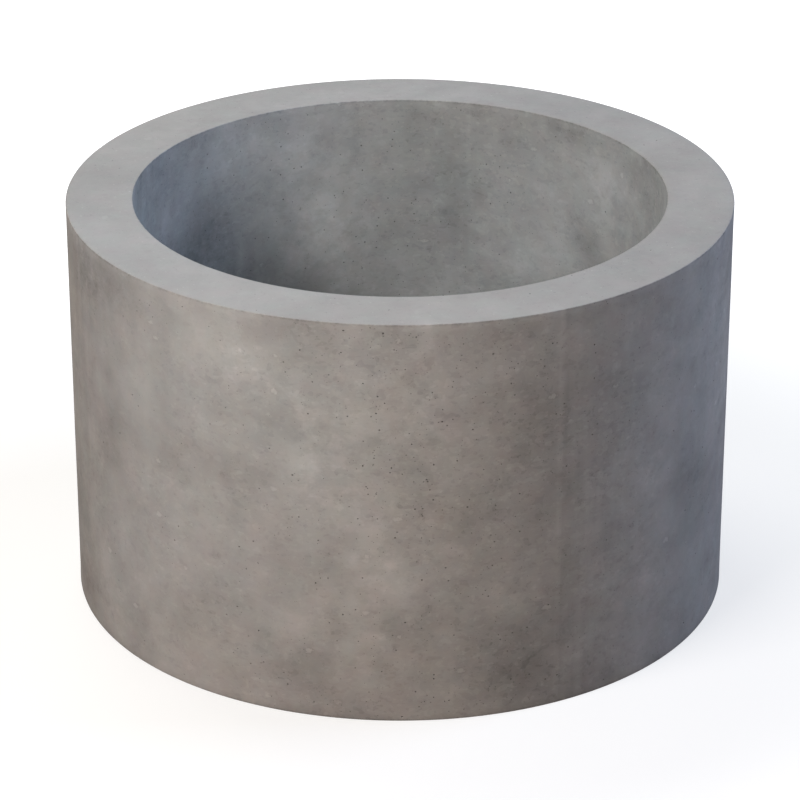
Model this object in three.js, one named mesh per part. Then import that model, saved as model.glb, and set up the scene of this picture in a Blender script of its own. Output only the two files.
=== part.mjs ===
// A precast concrete culvert ring: one thick-walled cylinder, cast in one piece and
// stood on its end. Flat joint faces close both ends, so that rings stack on each other
// and carry a cover slab. A mould fillet leaves a small round on all four rims.
//
// Millimetres, +Z up. The origin is the centre of the ring's lower joint face.
import * as THREE from "three";

// Driving dimensions
const BORE_DIAMETER = 800; // clear inside diameter
const WALL = 100; // wall thickness
const HEIGHT = 625; // between the two joint faces
const OUTER_ARRIS = 1.5; // radius of the rounds on the two outer rims
const BORE_ARRIS = 1.5; // radius of the rounds on the two rims of the bore

// Fineness of the facets
const TURN_STEPS = 240; // round the ring; a multiple of four keeps its width exact
const ARRIS_STEPS = 4; // along each quarter round; an even number

const BORE_RADIUS = BORE_DIAMETER / 2;
const OUTER_RADIUS = BORE_RADIUS + WALL;

// The wall's section, in the plane of radius and height: from the foot of the outer
// face's lower round up the outside, over the top and down the bore.
function wallSection() {
  const quarter = Math.PI / 2;
  const outer = OUTER_RADIUS - OUTER_ARRIS; // centres of the outer rounds
  const inner = BORE_RADIUS + BORE_ARRIS; // centres of the bore's rounds
  const section = new THREE.Shape();
  section.absarc(outer, OUTER_ARRIS, OUTER_ARRIS, -quarter, 0);
  section.absarc(outer, HEIGHT - OUTER_ARRIS, OUTER_ARRIS, 0, quarter);
  section.absarc(inner, HEIGHT - BORE_ARRIS, BORE_ARRIS, quarter, 2 * quarter);
  section.absarc(inner, BORE_ARRIS, BORE_ARRIS, 2 * quarter, 3 * quarter);
  section.closePath();
  return section.getPoints(ARRIS_STEPS / 2); // a path takes twice as many steps on an arc
}

// Turns the section once about the vertical axis.
function ringGeometry() {
  const geometry = new THREE.LatheGeometry(wallSection(), TURN_STEPS);
  geometry.rotateX(Math.PI / 2); // LatheGeometry turns about Y
  return geometry;
}

const concrete = new THREE.MeshStandardMaterial({
  name: "cast_concrete",
  color: 0x9f9e9c,
  roughness: 0.85,
  metalness: 0,
});

const ring = new THREE.Mesh(ringGeometry(), concrete);
ring.name = "culvert_ring";

const culvertRing = new THREE.Group();
culvertRing.name = "concrete_culvert_ring";
culvertRing.add(ring);

export default culvertRing;
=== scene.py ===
import math
from typing import NamedTuple

import bpy
import numpy as np
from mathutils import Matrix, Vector
from mathutils.geometry import delaunay_2d_cdt


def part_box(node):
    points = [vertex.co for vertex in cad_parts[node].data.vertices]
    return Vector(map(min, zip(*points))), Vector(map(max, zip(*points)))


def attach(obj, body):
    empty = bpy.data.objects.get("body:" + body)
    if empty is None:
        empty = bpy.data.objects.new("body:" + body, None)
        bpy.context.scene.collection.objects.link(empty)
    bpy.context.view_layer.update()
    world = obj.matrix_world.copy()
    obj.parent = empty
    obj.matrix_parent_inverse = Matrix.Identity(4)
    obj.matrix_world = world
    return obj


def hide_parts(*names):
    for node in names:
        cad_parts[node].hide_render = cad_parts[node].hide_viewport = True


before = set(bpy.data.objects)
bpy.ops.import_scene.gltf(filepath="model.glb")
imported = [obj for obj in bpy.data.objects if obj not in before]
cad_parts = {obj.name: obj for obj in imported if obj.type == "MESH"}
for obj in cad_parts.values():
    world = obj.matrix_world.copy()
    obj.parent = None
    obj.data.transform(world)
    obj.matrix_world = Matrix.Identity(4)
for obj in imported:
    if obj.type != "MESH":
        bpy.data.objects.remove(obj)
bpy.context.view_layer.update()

MM = 0.001
SEED = 8
rng = np.random.default_rng(SEED)

# ---------------- the ring's sizes
ring_low, ring_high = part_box("culvert_ring")
OUTER_RADIUS = (ring_high.x - ring_low.x) / 2
HEIGHT = ring_high.z - ring_low.z
WALL = 100 * MM
BORE_RADIUS = OUTER_RADIUS - WALL
ARRIS = 1.5 * MM  # radius of the rounds on the rims

# The wall's section is a rectangle of sharp corners grown by ARRIS. Its outline is walked
# once round: along the foot, up the outer face, in over the top, and down the bore.
FOOT, OUTER, TOP, BORE = range(4)
CORNERS = np.array([
    (BORE_RADIUS + ARRIS, ARRIS),
    (OUTER_RADIUS - ARRIS, ARRIS),
    (OUTER_RADIUS - ARRIS, HEIGHT - ARRIS),
    (BORE_RADIUS + ARRIS, HEIGHT - ARRIS),
])
RUNS = np.roll(CORNERS, -1, 0) - CORNERS  # each side's straight, as a vector
LENGTHS = np.linalg.norm(RUNS, axis=1)
ROUND = ARRIS * math.pi / 2  # length of one quarter round
STARTS = np.concatenate([[0], np.cumsum(LENGTHS + ROUND)[:3]])
PERIMETER = float((LENGTHS + ROUND).sum())

# The surface is worked out on a flat sheet: x runs once round the ring at the outer wall's
# width, from the front to the right, and s runs along the section's outline.
TURN = 2 * math.pi * OUTER_RADIUS
SEAM = float(LENGTHS[FOOT]) / 2  # the sheet begins and ends in the middle of the foot
FACE_WIDTH = (OUTER_RADIUS + BORE_RADIUS) / 2 / OUTER_RADIUS
BORE_WIDTH = BORE_RADIUS / OUTER_RADIUS
WIDTHS = {FOOT: FACE_WIDTH, OUTER: 1.0, TOP: FACE_WIDTH, BORE: BORE_WIDTH}  # true over unrolled


def side_at(s):
    """The side whose straight, or the round after it, lies at lengths s."""
    return np.searchsorted(STARTS, np.mod(s, PERIMETER), side="right") - 1


def section(s):
    """The outline at lengths s along it: radius, height, and the outward normal's angle."""
    side = side_at(s)
    along = np.mod(s, PERIMETER) - STARTS[side]
    straight = np.minimum(along / LENGTHS[side], 1)
    turned = np.maximum(along - LENGTHS[side], 0) / ROUND
    angle = (side - 1 + turned) * (math.pi / 2)
    point = CORNERS[side] + RUNS[side] * straight[:, None]
    radius = point[:, 0] + ARRIS * np.cos(angle)
    height = point[:, 1] + ARRIS * np.sin(angle)
    return radius, height, angle


# ---------------- form and wear
WAVE_CREST = 0.55  # the share of its waves' summed sizes at which a field of them reaches 1


class Waves:
    """A smooth field from -1 to 1 on the unrolled sheet, which closes on itself both ways.

    It is a sum of count waves, each at most turns times round the ring and rises times round
    the section.
    """

    def __init__(self, count, turns, rises):
        self.k = rng.integers(0, turns + 1, count)
        self.m = rng.integers(-rises, rises + 1, count)
        self.phase = rng.uniform(0, 2 * math.pi, count)
        self.size = 1 / np.sqrt(1 + self.k + np.abs(self.m))
        self.size /= self.size.sum() * WAVE_CREST

    def __call__(self, x, s):
        a, b = 2 * math.pi * x / TURN, 2 * math.pi * s / PERIMETER
        total = np.zeros(len(x))
        for k, m, phase, size in zip(self.k, self.m, self.phase, self.size):
            total += size * np.cos(k * a + m * b + phase)
        return np.clip(total, -1, 1)


form_waves = Waves(26, 14, 9)  # the mould's own unevenness
rim_waves = Waves(30, 90, 2)  # how far the rims are rubbed down
crowd_waves = Waves(24, 22, 10)  # where the air pores crowd

WALL_FORM = 0.30 * MM  # the walls lie this far inside the nominal size, give or take as much
JOINT_FORM = 0.25 * WALL_FORM  # the same of the two joint faces
FORM_START = 2 * MM  # from the middle of a rim's round to where the unevenness begins
FORM_FADE = 20 * MM  # from there to where it is whole
RIM_WEAR = 0.13 * MM  # the rims are rubbed down this far, give or take as much
RIM_REACH = 2.4 * MM  # how far to either side of a rim's middle that goes
RIMS = STARTS + LENGTHS + ROUND / 2  # the middles of the four rounds

NORMAL_STEP = 0.4 * MM

CHIPS_ON_RIM = 8
WHOLE_FRONT = 330 * MM  # how far round, to either side of the front, the rims are whole
CHIP_LEAST = 0.3  # size of the smallest chip, over the largest
CHIP_HALF_LENGTH = 1.8 * MM  # round the rim: this and the next two are of the largest
CHIP_HALF_WIDTH = 1.0 * MM
CHIP_DEPTH = 0.24 * MM
CHIP_LENGTHS = (0.7, 1.3)  # how much shorter or longer a chip is than its size says
CHIP_DEPTHS = (0.6, 1.2)
CHIP_STRAY = 0.4 * MM  # how far the chips' middles stray from the rim's
CHIP_RAGGED = 0.22  # share by which a chip's outline wanders
CHIP_SKIRT = 1.6 * MM  # how far fine points go on round a chip, so that its slopes end there
CHIP_BOX = (12 * MM, 8 * MM)  # half sizes of a box that any chip fits in


class Chip(NamedTuple):
    """A crumb lost from a rim."""
    x: float
    s: float
    half_x: float
    half_s: float
    depth: float
    phase: float


def make_chip(rim):
    size = CHIP_LEAST + (1 - CHIP_LEAST) * rng.random() ** 3
    return Chip(
        x=rng.uniform(WHOLE_FRONT, TURN - WHOLE_FRONT),
        s=rim + rng.normal(0, CHIP_STRAY),
        half_x=CHIP_HALF_LENGTH * size * rng.uniform(*CHIP_LENGTHS),
        half_s=CHIP_HALF_WIDTH * size ** 0.5,
        depth=CHIP_DEPTH * size * rng.uniform(*CHIP_DEPTHS),
        phase=rng.uniform(0, 2 * math.pi),
    )


chips = [make_chip(rim) for rim in RIMS for _ in range(CHIPS_ON_RIM)]


def chip_reach(chip, x, s):
    """0 at a chip's middle, 1 on its ragged outline."""
    u, v = (x - chip.x) / chip.half_x, (s - chip.s) / chip.half_s
    bearing = np.arctan2(v, u)
    wander = np.sin(3 * bearing + chip.phase) + 0.6 * np.sin(5 * bearing - chip.phase)
    return np.hypot(u, v) / (1 + CHIP_RAGGED * wander)


def inset(x, s):
    """How far the surface lies inside the CAD's, in metres."""
    wall = np.isin(side_at(s), (OUTER, BORE))
    depth = np.where(wall, WALL_FORM, JOINT_FORM) * (1 + form_waves(x, s))
    from_rims = s[:, None] - RIMS
    depth *= np.clip((np.abs(from_rims) - FORM_START) / FORM_FADE, 0, 1).min(1)
    depth += RIM_WEAR * (1 + rim_waves(x, s)) * np.exp(-(from_rims / RIM_REACH) ** 2).sum(1)
    for chip in chips:
        near = (np.abs(x - chip.x) < CHIP_BOX[0]) & (np.abs(s - chip.s) < CHIP_BOX[1])
        inside = np.clip(1 - chip_reach(chip, x[near], s[near]), 0, 1)
        depth[near] += chip.depth * inside * (2 - inside)
    return depth


def surface(x, s, sunk=0.0):
    """Points of the cast surface, sunk further along the normal where asked."""
    radius, height, angle = section(s)
    depth = inset(x, s) + sunk
    radius = radius - np.cos(angle) * depth
    height = height - np.sin(angle) * depth
    turn = x / OUTER_RADIUS
    return np.stack([radius * np.sin(turn), -radius * np.cos(turn), height], 1)


def surface_normals(x, s):
    """Normals from the surface's slopes, measured NORMAL_STEP to either side."""
    across = surface(x + NORMAL_STEP, s) - surface(x - NORMAL_STEP, s)
    up = surface(x, s + NORMAL_STEP) - surface(x, s - NORMAL_STEP)
    normal = np.cross(across, up)
    return normal / np.linalg.norm(normal, axis=1)[:, None]


# ---------------- patches and streaks
# Broad soft patches, by side. Each has its bearing in degrees (0 at the front, 90 at the right),
# its height, half width and half height in metres, and its strength. On the upper joint face
# the distance from the axis takes the height's place.

# Darker below 0 and lighter above: stains on the cement, and in the bore also painted shade and
# painted light.
STAINS_AND_PAINTED_LIGHT = {
    OUTER: [
        (-68, 0.57, 0.07, 0.06, -0.38),
        (-56, 0.58, 0.07, 0.06, -0.22),
        (-58, 0.34, 0.05, 0.10, -0.18),
        (-41, 0.40, 0.06, 0.06, -0.18),
        (-67, 0.43, 0.04, 0.03, -0.11),
        (-70, 0.24, 0.07, 0.035, -0.09),
        (-78, 0.16, 0.04, 0.03, -0.18),
        (-73, 0.04, 0.05, 0.04, -0.22),
        (-42, 0.31, 0.05, 0.04, -0.08),
        (-31, 0.37, 0.06, 0.03, -0.11),
        (-41, 0.14, 0.04, 0.05, -0.13),
        (-17, 0.07, 0.05, 0.035, -0.14),
        (10, 0.33, 0.04, 0.03, -0.15),
        (10, 0.09, 0.05, 0.05, -0.08),
        (20, 0.08, 0.055, 0.06, -0.25),
        (26, 0.13, 0.05, 0.04, -0.16),
        (35, 0.02, 0.06, 0.03, -0.14),
        (22, 0.46, 0.05, 0.07, -0.27),
        (19, 0.58, 0.05, 0.03, -0.10),
        (36, 0.51, 0.09, 0.05, -0.12),
        (20, 0.34, 0.09, 0.05, -0.07),
        (59, 0.29, 0.06, 0.05, -0.20),
        (71, 0.24, 0.04, 0.04, -0.14),
        (69, 0.10, 0.05, 0.03, -0.14),
        (-57, 0.02, 0.04, 0.03, 0.24),
        (-34, 0.58, 0.05, 0.03, 0.05),
        (-25, 0.53, 0.045, 0.03, 0.11),
        (-1, 0.51, 0.09, 0.10, 0.15),
        (-13, 0.42, 0.055, 0.07, 0.27),
        (-5, 0.25, 0.05, 0.10, 0.22),
        (-14, 0.13, 0.04, 0.04, 0.09),
        (28, 0.27, 0.04, 0.04, 0.09),
        (47, 0.32, 0.04, 0.05, 0.10),
        (70, 0.44, 0.09, 0.11, 0.15),
        (78, 0.34, 0.04, 0.06, 0.16),
        (42, 0.16, 0.08, 0.06, 0.13),
        (-61, 0.10, 0.03, 0.05, 0.08),
        (70, 0.01, 0.05, 0.03, 0.12),
    ],
    BORE: [
        # Bearings 219 and 233 are painted shade along the key lamp's shadow edge, and 178 to 200
        # are painted light where its light reaches deeper.
        (233, 0.42, 0.08, 0.05, -0.37),
        (246, 0.52, 0.04, 0.03, 0.10),
        (219, 0.35, 0.05, 0.03, -0.22),
        (168, 0.48, 0.05, 0.10, -0.20),
        (152, 0.58, 0.05, 0.03, -0.08),
        (131, 0.41, 0.05, 0.035, -0.20),
        (142, 0.35, 0.05, 0.03, -0.12),
        (106, 0.50, 0.08, 0.11, -0.16),
        (98, 0.58, 0.08, 0.05, -0.09),
        (175, 0.60, 0.06, 0.03, -0.10),
        (138, 0.60, 0.05, 0.03, -0.10),
        (200, 0.40, 0.06, 0.08, 0.40),
        (194, 0.43, 0.025, 0.03, -0.10),
        (193, 0.33, 0.05, 0.04, 0.20),
        (178, 0.29, 0.08, 0.04, 0.28),
        (200, 0.53, 0.08, 0.05, 0.13),
        (222, 0.58, 0.06, 0.05, 0.16),
        (126, 0.53, 0.06, 0.05, 0.22),
        (171, 0.53, 0.04, 0.04, 0.08),
        (150, 0.38, 0.06, 0.06, 0.12),
    ],
    TOP: [
        (-165, 0.45, 0.28, 0.20, 0.11),
        (-120, 0.45, 0.14, 0.20, 0.07),
        (-88, 0.45, 0.11, 0.20, -0.09),
        (25, 0.45, 0.12, 0.20, -0.02),
        (75, 0.45, 0.22, 0.20, -0.10),
    ],
}
# Its tint is cooler below 0 and warmer above.
TINTS = {
    OUTER: [
        (-77, 0.55, 0.08, 0.10, 0.55),
        (-74, 0.30, 0.08, 0.25, 0.45),
        (-72, 0.04, 0.06, 0.07, 0.35),
        (-35, 0.45, 0.18, 0.15, -0.25),
        (-12, 0.38, 0.07, 0.08, -0.25),
        (20, 0.36, 0.12, 0.14, 0.25),
        (-10, 0.05, 0.12, 0.06, 0.20),
        (56, 0.20, 0.12, 0.25, -0.35),
        (56, 0.42, 0.08, 0.10, -0.15),
        (80, 0.45, 0.08, 0.20, 0.60),
        (-63, 0.38, 0.05, 0.13, 0.25),
        (60, 0.04, 0.10, 0.06, -0.25),
        (65, 0.25, 0.09, 0.25, -0.12),
    ],
    BORE: [
        (216, 0.50, 0.06, 0.15, 0.40),
        (240, 0.47, 0.06, 0.06, -0.20),
        (176, 0.52, 0.14, 0.08, -0.40),
        (168, 0.42, 0.14, 0.10, -0.25),
        (188, 0.40, 0.05, 0.07, -0.15),
        (132, 0.54, 0.05, 0.05, -0.20),
    ],
    TOP: [
        (-65, 0.45, 0.28, 0.20, -0.28),
        (10, 0.45, 0.15, 0.20, 0.15),
        (105, 0.45, 0.42, 0.20, 0.40),
        (180, 0.45, 0.12, 0.20, 0.10),
    ],
}
# It is more pink below 0 and more olive above.
OLIVES = {
    OUTER: [
        (-22, 0.48, 0.22, 0.15, 0.65),
        (-15, 0.02, 0.22, 0.05, -0.60),
        (-68, 0.44, 0.04, 0.06, -1.00),
        (-62, 0.36, 0.05, 0.05, -1.00),
        (-73, 0.04, 0.06, 0.05, -0.90),
        (8, 0.50, 0.03, 0.07, -0.90),
        (0, 0.10, 0.04, 0.04, -0.50),
        (75, 0.24, 0.07, 0.10, -0.80),
        (43, 0.46, 0.04, 0.06, 0.60),
        (58, 0.52, 0.04, 0.05, 0.70),
        (60, 0.20, 0.04, 0.07, 0.60),
    ],
    BORE: [
        (180, 0.56, 0.05, 0.04, 0.50),
        (167, 0.51, 0.04, 0.05, 0.80),
        (214, 0.50, 0.06, 0.12, 0.50),
        (206, 0.35, 0.04, 0.04, -0.60),
        (245, 0.50, 0.04, 0.04, -0.70),
    ],
}
# The fine marks are weaker below 0 and stronger above.
MARKED = {
    OUTER: [
        (15, 0.31, 0.16, 0.45, 0.45),
        (-48, 0.34, 0.22, 0.35, -0.35),
        (58, 0.31, 0.12, 0.45, -0.35),
        (-77, 0.10, 0.05, 0.15, 0.35),
    ],
    BORE: [
        (175, 0.45, 0.10, 0.20, 0.05),
        (227, 0.45, 0.10, 0.20, -0.15),
        (200, 0.45, 0.06, 0.20, -0.20),
        (135, 0.45, 0.14, 0.20, -0.15),
    ],
}
# The air pores are fewer and smaller below 0, and more and larger above.
AIRY = {
    OUTER: [
        (7, 0.31, 0.24, 0.80, 1.00),
        (45, 0.31, 0.09, 0.80, -0.30),
    ],
    BORE: [
        (183, 0.45, 0.24, 0.60, 0.75),
    ],
}

MORE_STAINS = 26  # on either wall, over the bearings that the listed patches leave out
MORE_MARGIN = 0.03  # metres that their middles keep from the rims
MORE_STRENGTH = (0.03, 0.10)
MORE_HALF_WIDTH = (0.04, 0.09)
MORE_HALF_HEIGHT = (0.03, 0.09)
EDGE_WANDER = 22 * MM  # how far the patches' outlines stray from ovals


def more_stains(low, high):
    """Patches like the listed ones, scattered over the bearings from low to high."""
    made = []
    for _ in range(MORE_STAINS):
        bearing, height = rng.uniform(low, high), rng.uniform(MORE_MARGIN, HEIGHT - MORE_MARGIN)
        strength = rng.choice((-1, 1)) * rng.uniform(*MORE_STRENGTH)
        size = rng.uniform(*MORE_HALF_WIDTH), rng.uniform(*MORE_HALF_HEIGHT)
        made.append((bearing, height, *size, strength))
    return made


# the outer wall's far side and the bore's near side, which the photograph hides
STAINS_AND_PAINTED_LIGHT[OUTER] += more_stains(85, 275)
STAINS_AND_PAINTED_LIGHT[BORE] += more_stains(-95, 95)
wander_x = Waves(30, 40, 16)
wander_s = Waves(30, 40, 16)


def turn_from(bearing, x):
    """The angle from a bearing in degrees to points of the sheet, from -pi to pi."""
    return np.mod(x / OUTER_RADIUS - math.radians(bearing) + math.pi, 2 * math.pi) - math.pi


def patched(x, s, patches):
    """The patches' summed strength at points of the sheet."""
    side = side_at(s)
    radius, height, _ = section(s)
    place = np.where(side == TOP, radius, height) + EDGE_WANDER * wander_s(x, s)
    across = x + EDGE_WANDER * wander_x(x, s)
    total = np.zeros(len(x))
    for wall, listed in patches.items():
        for bearing, middle, half_width, half_height, strength in listed:
            u = turn_from(bearing, across) * OUTER_RADIUS * WIDTHS[wall] / half_width
            v = (place - middle) / half_height
            total += np.where(side == wall, strength * np.exp(-u * u - v * v), 0)
    return total


# Where the mould's joints and drips left upright streaks on the walls: bearing and half width
# in degrees, lowest and highest point in metres, and strength.
STREAKS = [
    (31, 5, 0.00, 0.42, 0.6),
    (38, 7, 0.20, 0.62, 0.6),
    (28, 1.5, 0.42, 0.60, 1.0),
    (-68, 8, 0.20, 0.62, 0.6),
    (62, 6, 0.30, 0.62, 0.35),
    (117, 8, 0.05, 0.50, 0.8),
    (163, 5, 0.15, 0.62, 0.5),
    (218, 9, 0.00, 0.40, 0.7),
    (256, 5, 0.25, 0.62, 0.8),
]
STREAK_END = 0.05  # metres over which a streak fades at either end


def streaked(x, s):
    """How strongly the walls are streaked at points of the sheet, from 0 to 1."""
    height = section(s)[1]
    total = np.zeros(len(x))
    for bearing, half_width, low, high, strength in STREAKS:
        u = turn_from(bearing, x) / math.radians(half_width)
        foot = np.clip((height - low) / STREAK_END + 1, 0, 1)
        head = np.clip((high - height) / STREAK_END + 1, 0, 1)
        total += strength * np.exp(-u * u) * foot * head
    return np.where(np.isin(side_at(s), (OUTER, BORE)), np.minimum(total, 1), 0)


# ---------------- air pores
# Pores are tried at random places of each side, this many to the square metre, and thinned out.
TRIED_PORES = {FOOT: 500, OUTER: 3200, TOP: 900, BORE: 3700}
PLAIN_SHARE = 0.36  # of the tries that stay where the wall is neither airy nor dense
AIRY_SHARE = 0.38  # that stays besides where it is airy
CROWDING = {FOOT: 0.2, OUTER: 0.4, TOP: 0.2, BORE: 0.3}  # how much crowd_waves makes airy
PAIRED = 0.15  # share of the pores that lie close beside the one before
PAIR_GAP = (7 * MM, 5 * MM)  # about how far from it, round the ring and up it
PORE_SMALL = 0.55 * MM  # radius of the smallest and commonest, before the wall's airiness
PORE_SPREAD = 3.0  # the number of pores over a radius falls with this power of it
PORE_RAREST = 0.0001  # share of the pores that would be larger than any drawn
PORE_LEAST, PORE_MOST = 0.38 * MM, 1.35 * MM  # radii
PLAIN_SIZE = 0.80  # what the radii are multiplied by where the wall is neither airy nor dense
AIRY_SIZE = 0.40  # what is added to that where it is airy
PORE_DEPTH = (0.9, 1.5)  # over its radius
RIM_MARGIN = 3.1 * MM  # from a rim's round to a pore's middle, at least
SIDE_MARGIN = 3 * MM  # the same from the sheet's two sides
SEAM_MARGIN = 4 * MM  # and from its seam
PORE_GAP = 0.7 * MM  # between two pores' lips, at least
PORE_CELL = 6 * MM

DETAILED_PORE = 0.75 * MM  # from this radius on, a pore has more lip points and an inner ring
LIP_POINTS, DETAILED_LIP_POINTS = 5, 8
INNER_POINTS = 5
INNER_SPIN = 0.3  # how far the inner ring is turned from the lip, in radians
INNER_RADIUS = 0.62  # over the pore's
INNER_DEPTH = 0.75  # over the pore's
INNER_TILT = 0.8  # over the lip's
INNER_DARK = 0.6  # the attribute pore there, which is 0 on the lip and 1 at the deepest point and sets the pore's painted shade
LIP_TILT = 1.4  # slope of a pore's side at its lip
LIP_UNEVEN = (0.88, 1.12)  # the lip points' distances from the middle, over the radius
LIP_STRETCH = (0.80, 1.25)  # how much longer round the ring than up it a lip is
DEEPEST_STRAY = 0.15  # how far a pore's deepest point strays from its middle, over the radius


class Pore(NamedTuple):
    """An air pore's middle on the sheet, its size, and the side that it is on."""
    x: float
    s: float
    radius: float
    depth: float
    side: int


class Cells:
    """Things on the sheet, found again by the square cell that they lie in."""

    def __init__(self, size):
        self.size = size
        self.held = {}

    def cell(self, x, s):
        return int(x / self.size), int(s / self.size)

    def put(self, thing):
        self.held.setdefault(self.cell(thing.x, thing.s), []).append(thing)

    def near(self, x, s):
        """What lies in the point's own cell and in the eight round it."""
        i, j = self.cell(x, s)
        cells = [(i + di, j + dj) for di in (-1, 0, 1) for dj in (-1, 0, 1)]
        return [thing for cell in cells for thing in self.held.get(cell, ())]


def distance(x, s, pore):
    return math.hypot(x - pore.x, s - pore.s)


def on_sheet(s):
    """The foot's first half follows the bore, at the sheet's end."""
    return s + PERIMETER if s < SEAM else s


def tried_pores(side):
    """One side's pores before those that touch another are left out."""
    low = STARTS[side] + RIM_MARGIN
    high = STARTS[side] + LENGTHS[side] - RIM_MARGIN
    tries = int(TRIED_PORES[side] * TURN * WIDTHS[side] * LENGTHS[side])
    x, s = rng.uniform(0, TURN, tries), rng.uniform(low, high, tries)
    beside = np.flatnonzero(rng.random(tries) < PAIRED)
    x[beside] = x[beside - 1] + rng.normal(0, PAIR_GAP[0], len(beside))
    s[beside] = s[beside - 1] + rng.normal(0, PAIR_GAP[1], len(beside))
    airy = CROWDING[side] * crowd_waves(x, s) + patched(x, s, AIRY)
    stays = rng.random(tries) < PLAIN_SHARE + AIRY_SHARE * airy
    stays &= (s > low) & (s < high) & (np.abs(s - SEAM) > SEAM_MARGIN)
    stays &= (x > SIDE_MARGIN) & (x < TURN - SIDE_MARGIN)
    radius = PORE_SMALL * rng.uniform(PORE_RAREST, 1, tries) ** (-1 / PORE_SPREAD)
    radius = np.clip(radius * (PLAIN_SIZE + AIRY_SIZE * airy), PORE_LEAST, PORE_MOST)
    depth = radius * rng.uniform(*PORE_DEPTH, tries)
    return [Pore(x[i], s[i], radius[i], depth[i], side) for i in np.flatnonzero(stays)]


def scatter_pores():
    """Air pores on the four sides. None touch."""
    kept = []
    for side in TRIED_PORES:
        taken = Cells(PORE_CELL)
        for pore in tried_pores(side):
            x, s, radius = pore[:3]
            near = taken.near(x, s)
            if all(distance(x, s, other) >= radius + other.radius + PORE_GAP for other in near):
                taken.put(pore)
                kept.append(pore._replace(s=on_sheet(s)))
    return kept


# ---------------- points of the mesh
COLUMNS = 240
COLUMN = TURN / COLUMNS
ROUND_STEPS = 4
PORE_CLEAR = 1.5 * MM  # from a pore's lip to the even rows' points, at least
CHIP_CLEAR = 0.5 * MM  # the same from a chip's patch of fine points
CHIP_STEP = 0.8 * MM  # between those fine points
ROW_SHAKE = (0.22, 0.20)  # how far the even rows' points stray, round the ring and up it
CHIP_SHAKE = 0.25  # the same of the fine points: all three over the points' own spacing
ROW_END = 0.4 * COLUMN  # from a row's last shaken point to the sheet's side, at least


class Points:
    """Points of the unrolled sheet, each with its depth in a pore and its normal's tilt there."""

    def __init__(self):
        self.x, self.s, self.sunk, self.tilt_x, self.tilt_s, self.pore = ([] for _ in range(6))

    def add(self, x, s, sunk=0.0, tilt=(0.0, 0.0), pore=0.0):
        """Adds a point, and says which it is."""
        self.x.append(x)
        self.s.append(s)
        self.sunk.append(sunk)
        self.tilt_x.append(tilt[0])
        self.tilt_s.append(tilt[1])
        self.pore.append(pore)
        return len(self.x) - 1

    def arrays(self):
        lists = (self.x, self.s, self.sunk, self.tilt_x, self.tilt_s, self.pore)
        return [np.array(values) for values in lists]


def add_pore(points, pore):
    """A lip, a ring inside it where the pore is large, and the deepest point."""
    x, s, radius, depth, side = pore
    narrow = WIDTHS[side]
    detailed = radius > DETAILED_PORE
    lip = DETAILED_LIP_POINTS if detailed else LIP_POINTS
    spin = rng.uniform(0, 2 * math.pi)
    stretch = rng.uniform(*LIP_STRETCH)
    for i in range(lip):
        a = spin + 2 * math.pi * i / lip
        r = radius * rng.uniform(*LIP_UNEVEN)
        place = x + r * stretch * math.cos(a) / narrow, s + r / stretch * math.sin(a)
        points.add(*place, 0.0, (-LIP_TILT * math.cos(a), -LIP_TILT * math.sin(a)))
    for i in range(INNER_POINTS if detailed else 0):
        a = spin + INNER_SPIN + 2 * math.pi * i / INNER_POINTS
        r = INNER_RADIUS * radius
        tilt = (-INNER_TILT * LIP_TILT * math.cos(a), -INNER_TILT * LIP_TILT * math.sin(a))
        place = x + r * math.cos(a) / narrow, s + r * math.sin(a)
        points.add(*place, INNER_DEPTH * depth, tilt, INNER_DARK)
    off = DEEPEST_STRAY * radius
    points.add(x + rng.uniform(-off, off), s + rng.uniform(-off, off), depth, pore=1.0)


def chip_patch(chip):
    """Half sizes of the patch of fine points that a chip is made of."""
    return chip.half_x + CHIP_SKIRT, chip.half_s + CHIP_SKIRT


def add_chip(points, chip):
    wide, tall = chip_patch(chip)
    for x in np.arange(chip.x - wide, chip.x + wide, CHIP_STEP):
        for s in np.arange(chip.s - tall, chip.s + tall, CHIP_STEP):
            x_off = rng.uniform(-CHIP_SHAKE, CHIP_SHAKE) * CHIP_STEP
            s_off = rng.uniform(-CHIP_SHAKE, CHIP_SHAKE) * CHIP_STEP
            points.add(x + x_off, s + s_off)


def clear_of_chips(x, s):
    """Whether a point lies at least CHIP_CLEAR outside every chip's patch."""
    for chip in chips:
        wide, tall = chip_patch(chip)
        if abs(x - chip.x) <= wide + CHIP_CLEAR and abs(s - chip.s) <= tall + CHIP_CLEAR:
            return False
    return True


def meets_chip(x, s):
    """Whether a chip's patch lies on the piece of a row that ends at x."""
    for chip in chips:
        wide, tall = chip_patch(chip)
        if x - COLUMN - wide < chip.x < x + wide and abs(s - chip.s) < tall:
            return True
    return False


def even_rows(side):
    """Lengths along one straight, a column's width apart, without its two ends."""
    steps = max(2, round(LENGTHS[side] / COLUMN))
    return [on_sheet(STARTS[side] + LENGTHS[side] * i / steps) for i in range(1, steps)]


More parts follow.
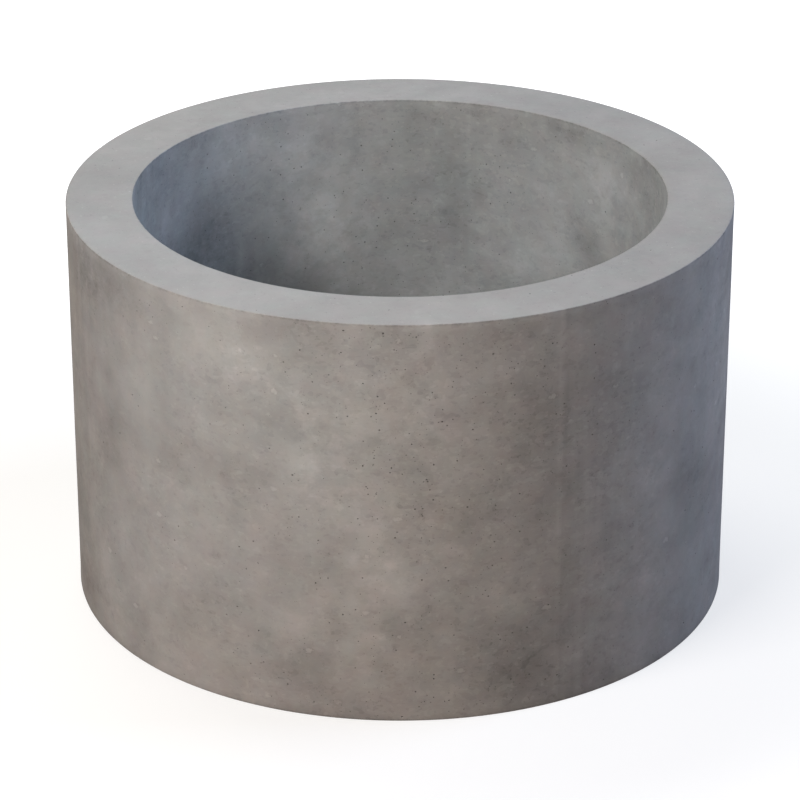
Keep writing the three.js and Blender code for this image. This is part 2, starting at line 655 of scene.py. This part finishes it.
class Sheet:
    """Every point of the unrolled sheet, and the pairs that must be joined by an edge."""

    def __init__(self):
        self.points = Points()
        self.joined = []
        pores = scatter_pores()
        self.held = Cells(COLUMN / 2)
        for pore in pores:
            self.held.put(pore)
        self.add_seam()
        for side in range(4):
            self.add_round(side)
            self.add_straight(side)
        for pore in pores:
            add_pore(self.points, pore)
        for chip in chips:
            add_chip(self.points, chip)

    def free(self, x, s):
        """Whether a point is clear of every pore and chip."""
        near = self.held.near(x, s)
        if any(distance(x, s, pore) < pore.radius + PORE_CLEAR for pore in near):
            return False
        return clear_of_chips(x, s)

    def add_seam(self):
        """Evenly spaced points on the sheet's lower and upper edge, so that the two meet."""
        for i in range(COLUMNS + 1):
            self.points.add(i * COLUMN, SEAM)
            self.points.add(i * COLUMN, SEAM + PERIMETER)

    def add_round(self, side):
        """The rows along the round that follows a side's straight.

        Each is joined from end to end, so that no triangle cuts across the round.
        """
        for step in range(ROUND_STEPS + 1):
            s = STARTS[side] + LENGTHS[side] + ROUND * step / ROUND_STEPS
            last = None
            for i in range(COLUMNS + 1):
                here = None
                if i in (0, COLUMNS) or self.free(i * COLUMN, s):
                    here = self.points.add(i * COLUMN, s)
                    if last is not None and not meets_chip(i * COLUMN, s):
                        self.joined.append((last, here))
                last = here

    def add_straight(self, side):
        """Rows of shaken points along a side's straight, with even ones at the sheet's sides."""
        for row, s in enumerate(even_rows(side)):
            self.points.add(0.0, s)
            self.points.add(TURN, s)
            shift = 0.5 * (row % 2)
            for i in range(1, COLUMNS):
                x = (i + shift + rng.uniform(-ROW_SHAKE[0], ROW_SHAKE[0])) * COLUMN
                y = s + rng.uniform(-ROW_SHAKE[1], ROW_SHAKE[1]) * COLUMN
                if x < TURN - ROW_END and self.free(x, y):
                    self.points.add(x, y)


# ---------------- the cast ring's mesh
EDGE_SLACK = 1e-9  # metres within which a point counts as lying on the sheet's edge
POINT_SLACK = 1e-6  # millimetres within which the triangulation takes two points for one
UV_STRIPS = 3  # the sheet is cut into thirds for the bake's map, two side by side, one across
UV_GAP = 24 * MM


def triangulated(x, s, edges):
    """Triangles over points of the sheet, with the given edges among theirs."""
    flat = [Vector((px / MM, ps / MM)) for px, ps in zip(x, s)]
    _, _, faces, origins, _, _ = delaunay_2d_cdt(flat, edges, [], 0, POINT_SLACK, True)
    origin = np.array([o[0] for o in origins])
    return origin[np.array(faces)]


def closed(x, s, faces):
    """Makes the sheet's right and top edge one with its left and bottom edge.

    Gives the points that are used, and the faces between them.
    """
    first = {}
    home = np.arange(len(x))
    at_side = (x < EDGE_SLACK) | (x > TURN - EDGE_SLACK)
    at_seam = (s < SEAM + EDGE_SLACK) | (s > SEAM + PERIMETER - EDGE_SLACK)
    for i in np.flatnonzero(at_side | at_seam):
        along_x = 0 if at_side[i] else round(x[i] / MM, 3)
        along_s = SEAM if at_seam[i] else round(s[i] / MM, 3)
        home[i] = first.setdefault((along_x, along_s), i)
    used, compact = np.unique(home[faces], return_inverse=True)
    return used, compact.reshape(faces.shape)


def corner_normals(x, s, tilt_x, tilt_s, faces, in_pore):
    """A normal for each face's corners. A pore's lip is sharp: its faces have tilted ones."""
    base = surface_normals(x, s)
    turn = x / OUTER_RADIUS
    _, _, angle = section(s)
    along_x = np.stack([np.cos(turn), np.sin(turn), np.zeros_like(turn)], 1)
    outward, up = -np.sin(angle), np.cos(angle)
    along_s = np.stack([outward * np.sin(turn), -outward * np.cos(turn), up], 1)
    tilted = base + along_x * tilt_x[:, None] + along_s * tilt_s[:, None]
    tilted /= np.linalg.norm(tilted, axis=1)[:, None]
    return np.where(in_pore[:, None, None], tilted[faces], base[faces]).reshape(-1, 3)


def uv_places(x, s, third):
    """A third of the sheet beside the next, and the last turned across the top of both."""
    wide, tall = TURN / UV_STRIPS + UV_GAP, PERIMETER + UV_GAP
    u, v = x - third * TURN / UV_STRIPS + UV_GAP / 2, s - SEAM + UV_GAP / 2
    across = third == UV_STRIPS - 1
    sheet_u = np.where(across, v, u + third * wide)
    sheet_v = np.where(across, tall + u, v)
    return np.stack([sheet_u / (2 * wide), sheet_v / (tall + wide)], 1)


def cast_mesh():
    sheet = Sheet()
    x, s, sunk, tilt_x, tilt_s, pore = sheet.points.arrays()
    faces = triangulated(x, s, sheet.joined)
    used, joined = closed(x, s, faces)

    mesh = bpy.data.meshes.new("cast_ring")
    mesh.from_pydata(surface(x, s, sunk)[used].tolist(), [], joined.tolist())
    mesh.shade_smooth()
    attributes = {
        "pore": pore,
        "streak": streaked(x, s),
        "stain_and_painted_light": patched(x, s, STAINS_AND_PAINTED_LIGHT),
        "warmth": patched(x, s, TINTS),
        "olive": patched(x, s, OLIVES),
        "marked": patched(x, s, MARKED),
    }
    for name, values in attributes.items():
        mesh.attributes.new(name, "FLOAT", "POINT").data.foreach_set("value", values[used])

    third = np.minimum((x[faces].mean(1) / (TURN / UV_STRIPS)).astype(int), UV_STRIPS - 1)
    corners = faces.ravel()
    layer = mesh.uv_layers.new(name="OFBake")
    places = uv_places(x[corners], s[corners], np.repeat(third, 3))
    layer.uv.foreach_set("vector", places.ravel())
    mesh.update()
    in_pore = (pore[faces] > 0).any(1)
    normals = corner_normals(x, s, tilt_x, tilt_s, faces, in_pore)
    mesh.normals_split_custom_set(normals.tolist())
    return mesh


# ---------------- nodes
class Nodes:
    """Short names for the shader nodes of a material or a world."""

    def __init__(self, owner):
        owner.use_nodes = True
        self.tree = owner.node_tree
        self.tree.nodes.clear()

    def node(self, kind, inputs=(), **settings):
        made = self.tree.nodes.new(kind)
        for name, value in settings.items():
            setattr(made, name, value)
        for name, value in dict(inputs).items():
            if isinstance(value, bpy.types.NodeSocket):
                self.tree.links.new(value, made.inputs[name])
            else:
                made.inputs[name].default_value = value
        return made

    def math(self, operation, a, b=0.0, c=0.0):
        return self.node("ShaderNodeMath", {0: a, 1: b, 2: c}, operation=operation).outputs[0]

    def total(self, first, *others):
        for other in others:
            first = self.math("ADD", first, other)
        return first

    def product(self, first, *others):
        for other in others:
            first = self.math("MULTIPLY", first, other)
        return first

    def line(self, value, slope, start):
        """slope * value + start"""
        return self.math("MULTIPLY_ADD", value, slope, start)

    def centred(self, value, strength):
        """A value between 0 and 1 as a brightness that strays by half of strength each way."""
        return self.line(value, strength, -strength / 2)

    def ramp(self, value, low, high, out_low=0.0, out_high=1.0, smooth=True):
        """From out_low, where the value is low, to out_high, where it is high."""
        inputs = {"Value": value, "From Min": low, "From Max": high}
        inputs |= {"To Min": out_low, "To Max": out_high}
        kind = "SMOOTHSTEP" if smooth else "LINEAR"
        return self.node("ShaderNodeMapRange", inputs, interpolation_type=kind).outputs[0]

    def between(self, share, at_none, at_all):
        return self.ramp(share, 0, 1, at_none, at_all, smooth=False)

    def attribute(self, name):
        return self.node("ShaderNodeAttribute", attribute_name=name).outputs["Fac"]

    def vector(self, operation, a, b):
        return self.node("ShaderNodeVectorMath", {0: a, 1: b}, operation=operation).outputs[0]

    def scaled(self, vector, by):
        """A vector stretched along its axes."""
        return self.vector("MULTIPLY", vector, by)

    def length(self, vector):
        return self.node("ShaderNodeVectorMath", {0: vector}, operation="LENGTH").outputs["Value"]

    def split(self, vector):
        return self.node("ShaderNodeSeparateXYZ", {0: vector}).outputs

    def noise(self, vector, size, detail, roughness, distortion=0.0, offset=0.0):
        """Noise whose largest features are about size metres across."""
        if offset:
            vector = self.vector("ADD", vector, (offset, offset * 1.7, offset * 0.6))
        inputs = {"Vector": vector, "Scale": 1 / size, "Detail": detail}
        inputs |= {"Roughness": roughness, "Distortion": distortion}
        return self.node("ShaderNodeTexNoise", inputs).outputs["Fac"]

    def cells(self, vector, size):
        """Each point's distance from the middle of its cell, and its cell's random colour."""
        inputs = {"Vector": vector, "Scale": 1 / size}
        made = self.node("ShaderNodeTexVoronoi", inputs).outputs
        return made["Distance"], self.node("ShaderNodeSeparateColor", {0: made["Color"]}).outputs

    def mix(self, factor, a, b, blend="MIX"):
        inputs = {0: factor, 6: a, 7: b}
        return self.node("ShaderNodeMix", inputs, data_type="RGBA", blend_type=blend).outputs[2]

    def tinted(self, colour, by):
        return self.mix(1.0, colour, by, blend="MULTIPLY")


# ---------------- concrete
JOINT_FACE = (0.348, 0.349, 0.349, 1)
OUTER_FACE = (0.362, 0.349, 0.343, 1)
BORE_FACE = (0.342, 0.3577, 0.366, 1)
WARMER = (1.044, 0.994, 0.942, 1)  # how far the cement's tint strays, each way
COOLER = (0.956, 1.006, 1.060, 1)
GREENER = (0.981, 1.010, 0.999, 1)
PINKER = (1.019, 0.990, 1.001, 1)
LOWER = (1.012, 0.999, 0.985, 1)  # the outer wall's tint at the foot, and at the top
UPPER = (0.986, 1.003, 1.016, 1)

# How far each kind of mark strays from the cement's own brightness, which counts as 1.
CLOUDS = 0.52  # this and the next three are from the darkest to the lightest
PATCHES = 0.42
GRIT = 0.08
UPRIGHT_STREAKS = 0.40
RAGGED_EDGE = 0.019
DARK_CURVE = -0.09
LIGHT_SMEAR, DARK_SMEAR = 0.04, -0.035
# A fleck is lighter cement; the darker border round it is painted shadow.
FLECK, FLECK_SHADOW = 0.24, -0.06
LIGHT_SPECK, DARK_SPECK = 0.24, -0.20
# A darker band along the rims: painted shade that dims the light their rounds catch, and wear.
RIM_SHADE_AND_WEAR = (-0.20, -0.12)
PINHOLE_SHADE = 0.7  # what a pinhole takes away: painted shade in holes too small to model
PORE_FLOOR_SHADE = 0.43  # what a modelled pore's floor keeps: painted shade, besides the shade that its depth casts

# What the joint faces, which are screeded, keep of the walls' contrast.
JOINT_BROAD = 0.50
JOINT_FINE = 0.32
JOINT_TINT = 0.3
JOINT_RIM_SHADE_AND_WEAR = 0.3
JOINT_PINHOLES = 0.12
BORE_CONTRAST = 1.18  # the bore's contrast over the outer wall's

PINHOLE_CELL = 6 * MM  # one in each cell about as wide, but not in all
FLECK_CELL = 26 * MM
RIM_SHADE_AND_WEAR_REACH = 5 * MM  # how far from a rim its darker band goes

# Smudges of several sizes with fairly clear edges: size in metres, how far the noise must stray
# from its middle, over what part of its range the edge runs, and the dark and the light strength.
SMUDGES = [
    (0.024, 0.07, 0.03, -0.030, 0.026),
    (0.013, 0.13, 0.03, -0.066, 0.060),
    (0.007, 0.17, 0.03, -0.080, 0.060),
]

# The mould's joint shows as an upright line on the outer wall, darker on its right side.
MOULD_JOINT = math.radians(27.3)
MOULD_EDGE = 2.5 * MM
MOULD_REACH = 26 * MM
MOULD_DARK, MOULD_LIGHT = -0.06, 0.04


class Concrete(Nodes):
    """The cast concrete: a brightness, a tint and a bump from noise and the mesh's patches."""

    def __init__(self, owner):
        super().__init__(owner)
        self.place = self.node("ShaderNodeTexCoord").outputs["Object"]
        self.height = self.split(self.place)[2]
        self.radius = self.length(self.scaled(self.place, (1, 1, 0)))
        self.outside = self.ramp(self.radius, BORE_RADIUS, OUTER_RADIUS, smooth=False)
        upright = self.split(self.node("ShaderNodeNewGeometry").outputs["Normal"])[2]
        self.level = self.ramp(self.math("ABSOLUTE", upright), 0.6, 0.9)  # 1 on the joint faces

        ragged = self.scaled(self.place, (0.8, 0.8, 1))
        self.ragged = self.noise(ragged, 0.045, detail=5.0, roughness=0.68, offset=8.8)
        self.patches = self.noise(self.place, 0.09, detail=2.0, roughness=0.7, offset=3.1)
        self.grit = self.noise(self.place, 0.012, detail=3.0, roughness=0.7, offset=7.7)
        self.bent = self.noise(self.place, 0.007, detail=3.0, roughness=0.7, offset=3.7)
        self.marked = self.attribute("marked")
        self.pinhole = self.pinholes()

    def shade(self):
        colour = self.tint(self.plain_colour())
        scaling = {0: colour, "Scale": self.brightness()}
        colour = self.node("ShaderNodeVectorMath", scaling, operation="SCALE").outputs[0]
        inputs = {"Base Color": colour, "Normal": self.bump(), "Specular IOR Level": 0.35}
        inputs["Roughness"] = self.ramp(self.patches, 0.3, 0.7, 0.78, 0.92, smooth=False)
        shader = self.node("ShaderNodeBsdfPrincipled", inputs).outputs[0]
        self.node("ShaderNodeOutputMaterial", {"Surface": shader})

    def brightness(self):
        contrast = self.between(self.outside, BORE_CONTRAST, 1.0)
        broad = self.product(self.clouds(), contrast, self.between(self.level, 1.0, JOINT_BROAD))
        fine = self.total(self.mottling(), self.mould_line(), self.flecks())
        fine = self.product(fine, contrast, self.between(self.level, 1.0, JOINT_FINE))
        bright = self.total(broad, fine, self.specks(), self.rim_shade_and_wear(), 1.0)
        # painted shade in the pinholes
        bright = self.product(bright, self.line(self.pinhole, -PINHOLE_SHADE, 1.0))
        # painted shade on the floors of the modelled pores
        return self.product(bright, self.ramp(self.attribute("pore"), 0, 0.28, 1.0, PORE_FLOOR_SHADE))

    def clouds(self):
        """Lighter and darker cement, from hand size down to thumb size, and the listed patches:
        stains, and in the bore also painted shade and light.
        """
        clouds = self.noise(self.place, 0.22, detail=2.0, roughness=0.75, distortion=0.4)
        edges = self.ramp(self.ragged, 0.46, 0.55, -RAGGED_EDGE, RAGGED_EDGE)
        stain_and_painted_light = self.product(self.attribute("stain_and_painted_light"), self.ramp(self.ragged, 0.38, 0.62, 0.7, 1.3))
        return self.total(self.centred(clouds, CLOUDS), self.centred(self.patches, PATCHES),
                          edges, stain_and_painted_light)

    def mottling(self):
        """The fine marks, strong in some regions and nearly missing in others."""
        busy = self.noise(self.place, 0.10, detail=2.0, roughness=0.6, offset=2.2)
        busy = self.product(self.ramp(busy, 0.36, 0.64, -0.3, 0.3),
                            self.between(self.outside, 0.45, 1.0))
        busy = self.total(busy, self.marked, 1.0)
        marks = self.total(self.centred(self.grit, GRIT), self.smudges(), self.curves(),
                           self.smears())
        return self.line(marks, busy, self.upright_streaks())

    def strays(self, noise, cut, edge, below, above):
        """A mark where the noise strays from its middle by more than cut, on either side."""
        high = self.ramp(noise, 0.5 + cut, 0.5 + cut + edge, 0.0, above)
        low = self.ramp(noise, 0.5 - cut, 0.5 - cut - edge, 0.0, below)
        return self.total(high, low)

    def smudges(self):
        wide = self.scaled(self.place, (0.75, 0.75, 1))
        made = []
        for size, cut, edge, dark, light in SMUDGES:
            smudge = self.noise(wide, size, detail=1.0, roughness=0.5, offset=size * 300)
            made.append(self.strays(smudge, cut, edge, light, dark))
        return self.total(*made)

    def curves(self):
        """Short dark curved marks, in some places only."""
        bends = self.scaled(self.place, (0.7, 0.7, 1))
        bends = self.noise(bends, 0.016, detail=2.0, roughness=0.6, distortion=0.5, offset=6.6)
        middle = self.math("ABSOLUTE", self.total(bends, -0.5))
        there = self.noise(self.place, 0.02, detail=2.0, roughness=0.6, offset=10.2)
        return self.product(self.ramp(middle, 0.0, 0.018, DARK_CURVE, 0.0),
                            self.ramp(there, 0.54, 0.62))

    def smears(self):
        """Short smears round the ring, where the mould rubbed."""
        smears = self.scaled(self.place, (0.2, 0.2, 1))
        smears = self.noise(smears, 0.0035, detail=2.0, roughness=0.6, offset=5.2)
        return self.strays(smears, 0.10, 0.12, DARK_SMEAR, LIGHT_SMEAR)

    def upright_streaks(self):
        streaks = self.scaled(self.place, (1, 1, 0.06))
        streaks = self.noise(streaks, 0.017, detail=2.0, roughness=0.5, offset=1.3)
        return self.product(self.centred(streaks, UPRIGHT_STREAKS), self.attribute("streak"))

    def mould_line(self):
        """How much brighter or darker the outer wall is beside the mould's joint."""
        apart = self.split(self.place)
        turn = self.math("ARCTAN2", apart[0], self.product(apart[1], -1.0))
        past = self.line(turn, OUTER_RADIUS, -MOULD_JOINT * OUTER_RADIUS)
        dark = self.ramp(past, MOULD_EDGE, MOULD_REACH, MOULD_DARK, 0.0)
        dark = self.product(self.ramp(past, 0, MOULD_EDGE), dark)
        beside = self.math("ABSOLUTE", self.total(past, 2 * MOULD_EDGE))
        light = self.ramp(beside, 0, 2 * MOULD_EDGE, MOULD_LIGHT, 0.0)
        on_wall = self.ramp(self.radius, BORE_RADIUS, OUTER_RADIUS - 5 * MM)
        return self.product(self.total(dark, light), on_wall,
                            self.ramp(self.ragged, 0.35, 0.65, 0.5, 1.3))

    def flecks(self):
        """Fat cement flecks, each with a darker border that is painted shadow."""
        apart, random = self.cells(self.scaled(self.place, (0.6, 0.6, 1)), FLECK_CELL)
        reach = self.line(self.bent, 0.50, self.total(apart, -0.25))
        fleck = self.total(self.ramp(reach, 0.17, 0.11, 0.0, FLECK),
                           self.ramp(reach, 0.26, 0.17, 0.0, FLECK_SHADOW))
        return self.product(fleck, self.ramp(random[0], 0.70, 0.95))

    def pinholes(self):
        """Holes too small to model: 1 in the middle of the deepest."""
        apart, random = self.cells(self.place, PINHOLE_CELL)
        chosen = self.ramp(self.line(self.marked, 0.22, random[1]), 0.71, 1.0)
        return self.product(self.ramp(apart, 0.13, 0.07), chosen,
                            self.between(self.level, 1.0, JOINT_PINHOLES))

    def specks(self):
        """A few small marks on the joint faces."""
        specks = self.noise(self.place, 0.0055, detail=2.0, roughness=0.6, offset=9.4)
        marks = self.total(self.ramp(specks, 0.685, 0.705, 0.0, DARK_SPECK),
                           self.ramp(specks, 0.305, 0.285, 0.0, LIGHT_SPECK))
        return self.product(marks, self.level)

    def rim_shade_and_wear(self):
        """The darker band along the rims: painted shade that dims the light their rounds catch,
        and wear.
        """
        across = self.total(self.radius, -(OUTER_RADIUS + BORE_RADIUS) / 2)
        across = self.ramp(self.math("ABSOLUTE", across), WALL / 2 - RIM_SHADE_AND_WEAR_REACH, WALL / 2)
        up = self.math("ABSOLUTE", self.total(self.height, -HEIGHT / 2))
        up = self.ramp(up, HEIGHT / 2 - RIM_SHADE_AND_WEAR_REACH, HEIGHT / 2)
        return self.product(across, up, self.ramp(self.ragged, 0.4, 0.6, *RIM_SHADE_AND_WEAR),
                            self.ramp(self.bent, 0.4, 0.6, 0.4, 1.6),
                            self.between(self.level, 1.0, JOINT_RIM_SHADE_AND_WEAR))

    def plain_colour(self):
        """The three kinds of face, without their tint."""
        rising = self.mix(self.ramp(self.height, 0, HEIGHT, smooth=False), LOWER, UPPER)
        outer = self.tinted(OUTER_FACE, rising)
        return self.mix(self.level, self.mix(self.outside, BORE_FACE, outer), JOINT_FACE)

    def tint(self, colour):
        """The colour, warmer or cooler, and greener or pinker, from place to place."""
        broad = self.noise(self.place, 0.16, detail=2.0, roughness=0.6, offset=4.6)
        freckles = self.noise(self.place, 0.028, detail=3.0, roughness=0.75, offset=12.9)
        cooler = self.line(broad, 0.5, self.line(freckles, 0.8, -0.65))
        cooler = self.line(cooler, self.between(self.level, 1.0, JOINT_TINT), 0.5)
        cooler = self.line(self.attribute("warmth"), -0.5, cooler)
        pinker = self.noise(self.place, 0.04, detail=3.0, roughness=0.7, offset=11.3)
        pinker = self.ramp(pinker, 0.3, 0.7, smooth=False)
        pinker = self.line(self.attribute("olive"), -0.5, pinker)
        colour = self.tinted(colour, self.mix(cooler, WARMER, COOLER))
        return self.tinted(colour, self.mix(pinker, GREENER, PINKER))

    def bump(self):
        dents = self.noise(self.place, 0.018, detail=3.0, roughness=0.5, offset=6.1)
        relief = self.product(self.line(self.grit, 0.2, dents), 1.3,
                              self.between(self.level, 1.0, JOINT_FINE))
        relief = self.line(self.pinhole, -1.2, relief)
        inputs = {"Height": relief, "Strength": 0.7, "Distance": 0.5 * MM}
        return self.node("ShaderNodeBump", inputs).outputs[0]


def concrete_material():
    material = bpy.data.materials.new("cast_concrete")
    Concrete(material).shade()
    return material


ring = bpy.data.objects.new("cast_ring", cast_mesh())
bpy.context.scene.collection.objects.link(ring)
ring.data.materials.append(concrete_material())
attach(ring, "root")
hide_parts("culvert_ring")

# ---------------- floor
FLOOR_SIZE = 40
FLOOR_LIT = (0.42, 0.42, 0.42, 1)  # what the camera sees of the floor's own colour
FLOOR_PALE = (0.15, 0.15, 0.15, 1)  # what the ring gets back from the floor
WHITE = (1, 1, 1, 1)
FLOOR_GLOW = 0.62  # how much of the floor's white beside the ring is its own light
FLOOR_FADE = (0.7, 1.7)  # distances from the ring's axis between which the glow becomes all of it


def floor_material():
    """A pale floor that the camera sees as white, apart from the ring's shadow on it."""
    material = bpy.data.materials.new("pale_floor")
    n = Nodes(material)
    seen = n.node("ShaderNodeLightPath").outputs["Is Camera Ray"]
    pale = n.node("ShaderNodeBsdfDiffuse", {"Color": FLOOR_PALE}).outputs[0]
    lit = n.node("ShaderNodeBsdfDiffuse", {"Color": FLOOR_LIT}).outputs[0]
    away = n.length(n.node("ShaderNodeTexCoord").outputs["Object"])
    own = n.ramp(away, *FLOOR_FADE, FLOOR_GLOW, 1.0)
    glow = n.node("ShaderNodeEmission", {"Color": WHITE, "Strength": own}).outputs[0]
    white = n.node("ShaderNodeAddShader", {0: lit, 1: glow}).outputs[0]
    shader = n.node("ShaderNodeMixShader", {0: seen, 1: pale, 2: white}).outputs[0]
    n.node("ShaderNodeOutputMaterial", {"Surface": shader})
    return material


floor_mesh = bpy.data.meshes.new("floor")
half = FLOOR_SIZE / 2
corners = [(-half, -half, 0), (half, -half, 0), (half, half, 0), (-half, half, 0)]
floor_mesh.from_pydata(corners, [], [(0, 1, 2, 3)])
floor = bpy.data.objects.new("floor", floor_mesh)
floor.data.materials.append(floor_material())
bpy.context.scene.collection.objects.link(floor)

# ---------------- light
AIM = Vector((0, 0, HEIGHT / 2))
ROOM_COLOUR = (0.9, 0.95, 1.0, 1)
ROOM_LIGHT = 0.09

# Square lamps aimed at the ring: name, azimuth (0 is the camera's side, 90 its right) and
# elevation in degrees, distance in metres, power in watts, and colour.
LAMPS = [
    ("key", -40, 35, 3.6, 105, (1.0, 0.93, 0.87)),
    ("fill", 100, 35, 5, 146, (0.64, 0.76, 1.0)),
    ("back", -150, 60, 5, 90, (1.0, 0.965, 0.86)),
    ("low", 15, 12, 5, 20, (1.0, 0.65, 0.35)),
    ("behind", 180, 6, 5, 42, (1.0, 0.95, 0.88)),
]


def softbox(name, azimuth, elevation, distance, power, colour):
    a, e = math.radians(azimuth), math.radians(elevation)
    back = Vector((math.sin(a) * math.cos(e), -math.cos(a) * math.cos(e), math.sin(e)))
    lamp = bpy.data.lights.new(name, "AREA")
    lamp.shape = "SQUARE"
    lamp.size = distance / 2
    lamp.energy = power
    lamp.color = colour
    holder = bpy.data.objects.new(name, lamp)
    holder.location = AIM + back * distance
    holder.rotation_euler = (-back).to_track_quat("-Z", "Y").to_euler()
    holder.visible_camera = False
    bpy.context.scene.collection.objects.link(holder)


def room():
    """A dim, slightly cool room round the ring, which the camera sees as white."""
    world = bpy.data.worlds.new("room")
    n = Nodes(world)
    seen = n.node("ShaderNodeLightPath").outputs["Is Camera Ray"]
    dim = n.node("ShaderNodeBackground", {"Color": ROOM_COLOUR, "Strength": ROOM_LIGHT})
    white = n.node("ShaderNodeBackground", {"Color": WHITE, "Strength": 1})
    both = {0: seen, 1: dim.outputs[0], 2: white.outputs[0]}
    shader = n.node("ShaderNodeMixShader", both).outputs[0]
    n.node("ShaderNodeOutputWorld", {"Surface": shader})
    return world


for lamp_settings in LAMPS:
    softbox(*lamp_settings)
bpy.context.scene.world = room()

# ---------------- camera
RISE = math.radians(21.491)  # of the camera above the upper joint face, seen from its centre
TILT = math.radians(24.790)  # of the camera's view below the horizon
DISTANCE = 5.433  # from the centre of the upper joint face
FOCAL, SENSOR = 162.80, 36  # mm
FAR = 100  # metres beyond which the camera sees nothing

camera_data = bpy.data.cameras.new("camera")
camera_data.lens = FOCAL
camera_data.sensor_width = SENSOR
camera_data.clip_end = FAR
camera = bpy.data.objects.new("camera", camera_data)
camera.location = (0, -DISTANCE * math.cos(RISE), HEIGHT + DISTANCE * math.sin(RISE))
camera.rotation_euler = (math.pi / 2 - TILT, 0, 0)
bpy.context.scene.collection.objects.link(camera)
bpy.context.scene.camera = camera
bpy.context.scene.view_settings.view_transform = "Standard"
